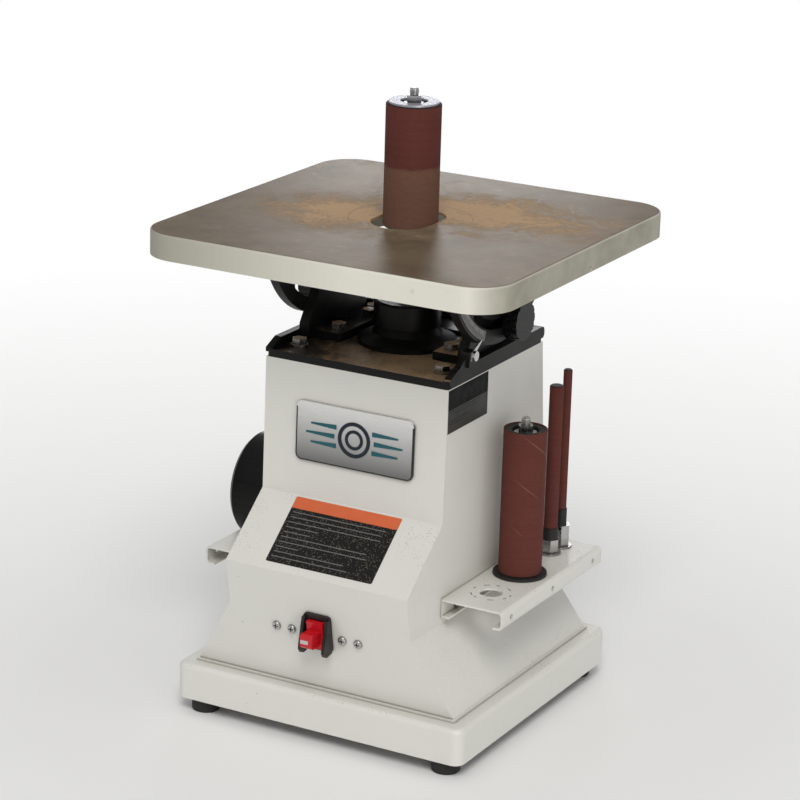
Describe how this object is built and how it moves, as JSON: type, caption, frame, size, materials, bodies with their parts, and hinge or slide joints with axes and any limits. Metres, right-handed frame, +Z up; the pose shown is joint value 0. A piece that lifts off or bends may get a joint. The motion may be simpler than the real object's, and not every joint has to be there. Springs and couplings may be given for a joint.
{
  "type": "benchtop oscillating spindle sander",
  "caption": "Compact cream bench machine whose vertical sanding drum spins and rides up and down through a square tilting cast table, with spindle racks on its sides.",
  "frame": {"origin": "point on the spindle axis at bench level, under the feet", "axes": "+X to the operator's right, +Y to the rear, +Z up along the spindle"},
  "size_m": [0.3682, 0.3682, 0.595],
  "materials": {
    "cabinet_paint": "cream powder coat",
    "table_iron": "ground cast iron with painted rim",
    "black_casting": "black painted casting",
    "inner_casting": "raw casting",
    "bright_steel": "turned steel",
    "zinc_screws": "bright plated",
    "black_plastic": "moulded black",
    "red_plastic": "moulded red",
    "foot_rubber": "black rubber",
    "drum_rubber": "firm black rubber",
    "abrasive": "cloth-backed brown abrasive",
    "disc_zinc": "pale plated disc",
    "bearing_steel": "ground bearing rings",
    "wheel_bronze": "bronze wheel",
    "scale_plate": "etched strip",
    "badge_plate": "silver plate with a dark edge",
    "cord_jacket": "black cord"
  },
  "bodies": {
    "frame": {"base_pan": "cabinet_paint", "rubber_feet": "foot_rubber", "cabinet_shell": "cabinet_paint", "rear_cover": "cabinet_paint", "rear_cover_screws": "zinc_screws", "top_plate": "black_casting", "top_plate_bolts": "zinc_screws", "top_plate_washers": "zinc_screws", "trunnion_bracket_right": "black_casting", "trunnion_bracket_left": "black_casting", "bracket_bolts": "zinc_screws", "tilt_pointer": "zinc_screws", "pointer_screw": "zinc_screws", "spindle_housing": "black_casting", "sleeve_bearings": "bearing_steel", "wheel_axle": "bright_steel", "guide_post": "bright_steel", "gearbox_frame": "inner_casting", "motor_frame": "black_casting", "fan_cover": "black_casting", "rack_right": "cabinet_paint", "rack_left": "cabinet_paint", "rack_screws": "zinc_screws", "switch_box": "black_plastic", "switch_screws": "zinc_screws", "name_badge": "badge_plate", "dust_chute": "black_casting", "power_cord": "cord_jacket"},
    "tilting_table": {"table": "table_iron", "table_insert": "bright_steel", "trunnion_segment_right": "black_casting", "trunnion_segment_left": "black_casting", "segment_bolts": "zinc_screws", "tilt_scale": "scale_plate"},
    "lock_right": {"lock_knob_right": "black_plastic"},
    "lock_left": {"lock_knob_left": "black_plastic"},
    "rotor": {"motor_rotor": "bright_steel", "cooling_fan": "black_plastic", "bevel_pinion": "bright_steel"},
    "drive": {"drive_sleeve": "bright_steel", "bevel_gear": "bright_steel", "worm": "bright_steel"},
    "crank": {"worm_wheel": "wheel_bronze"},
    "lift": {"scotch_yoke": "inner_casting", "carrier_bearing": "bearing_steel"},
    "spindle": {"spindle_shaft": "bright_steel", "rubber_drum": "drum_rubber", "sanding_sleeve": "abrasive", "drum_top_disc": "disc_zinc", "drum_bottom_disc": "disc_zinc", "spindle_nut": "zinc_screws"},
    "paddle": {"switch_paddle": "red_plastic"},
    "key": {"safety_key": "red_plastic"},
    "spare_drum_assembly": {"spare_drum_shaft": "bright_steel", "spare_drum": "drum_rubber", "spare_drum_sleeve": "abrasive"},
    "spare_half": {"half_spindle": "bright_steel", "half_sleeve": "abrasive"},
    "spare_quarter": {"quarter_spindle": "bright_steel", "quarter_sleeve": "abrasive"}
  },
  "joints": [
    {"name": "table_tilt", "type": "hinge", "parent": "frame", "child": "tilting_table", "pos_m": [0, 0, 0.472], "axis": [1, 0, 0], "range_deg": [-15, 45]},
    {"name": "lock_right_turn", "type": "hinge", "parent": "frame", "child": "lock_right", "pos_m": [0.105, 0.0132, 0.38854], "axis": [1, 0, 0], "range_deg": [0, 270]},
    {"name": "lock_left_turn", "type": "hinge", "parent": "frame", "child": "lock_left", "pos_m": [-0.105, 0.0132, 0.38854], "axis": [1, 0, 0], "range_deg": [-270, 0]},
    {"name": "motor_spin", "type": "hinge", "parent": "frame", "child": "rotor", "pos_m": [-0.09, 0, 0.182], "axis": [1, 0, 0], "continuous": true},
    {"name": "drive_spin", "type": "hinge", "parent": "frame", "child": "drive", "pos_m": [0, 0, 0.27], "axis": [0, 0, 1], "continuous": true},
    {"name": "crank_spin", "type": "hinge", "parent": "frame", "child": "crank", "pos_m": [0, 0.044, 0.27], "axis": [1, 0, 0], "continuous": true},
    {"name": "spindle_stroke", "type": "slide", "parent": "frame", "child": "lift", "axis": [0, 0, 1], "range_m": [-0.0127, 0.0127]},
    {"name": "spindle_spin", "type": "hinge", "parent": "lift", "child": "spindle", "pos_m": [0, 0, 0.3], "axis": [0, 0, 1], "continuous": true},
    {"name": "switch_rock", "type": "hinge", "parent": "frame", "child": "paddle", "pos_m": [0, -0.1519, 0.11094], "axis": [1, 0, 0], "range_deg": [0, 16]},
    {"name": "key_pull", "type": "slide", "parent": "paddle", "child": "key", "axis": [0, -0.9992, -0.0407], "range_m": [0, 0.03]},
    {"name": "spare_drum_lift", "type": "slide", "parent": "frame", "child": "spare_drum_assembly", "axis": [0, 0, 1], "range_m": [0, 0.06]},
    {"name": "spare_half_lift", "type": "slide", "parent": "frame", "child": "spare_half", "axis": [0, 0, 1], "range_m": [0, 0.06]},
    {"name": "spare_quarter_lift", "type": "slide", "parent": "frame", "child": "spare_quarter", "axis": [0, 0, 1], "range_m": [0, 0.06]}
  ],
  "couplings": [
    {"joint": "drive_spin", "follows": "motor_spin", "ratio": 1},
    {"joint": "spindle_spin", "follows": "motor_spin", "ratio": 1},
    {"joint": "crank_spin", "follows": "motor_spin", "ratio": 0.017241}
  ]
}
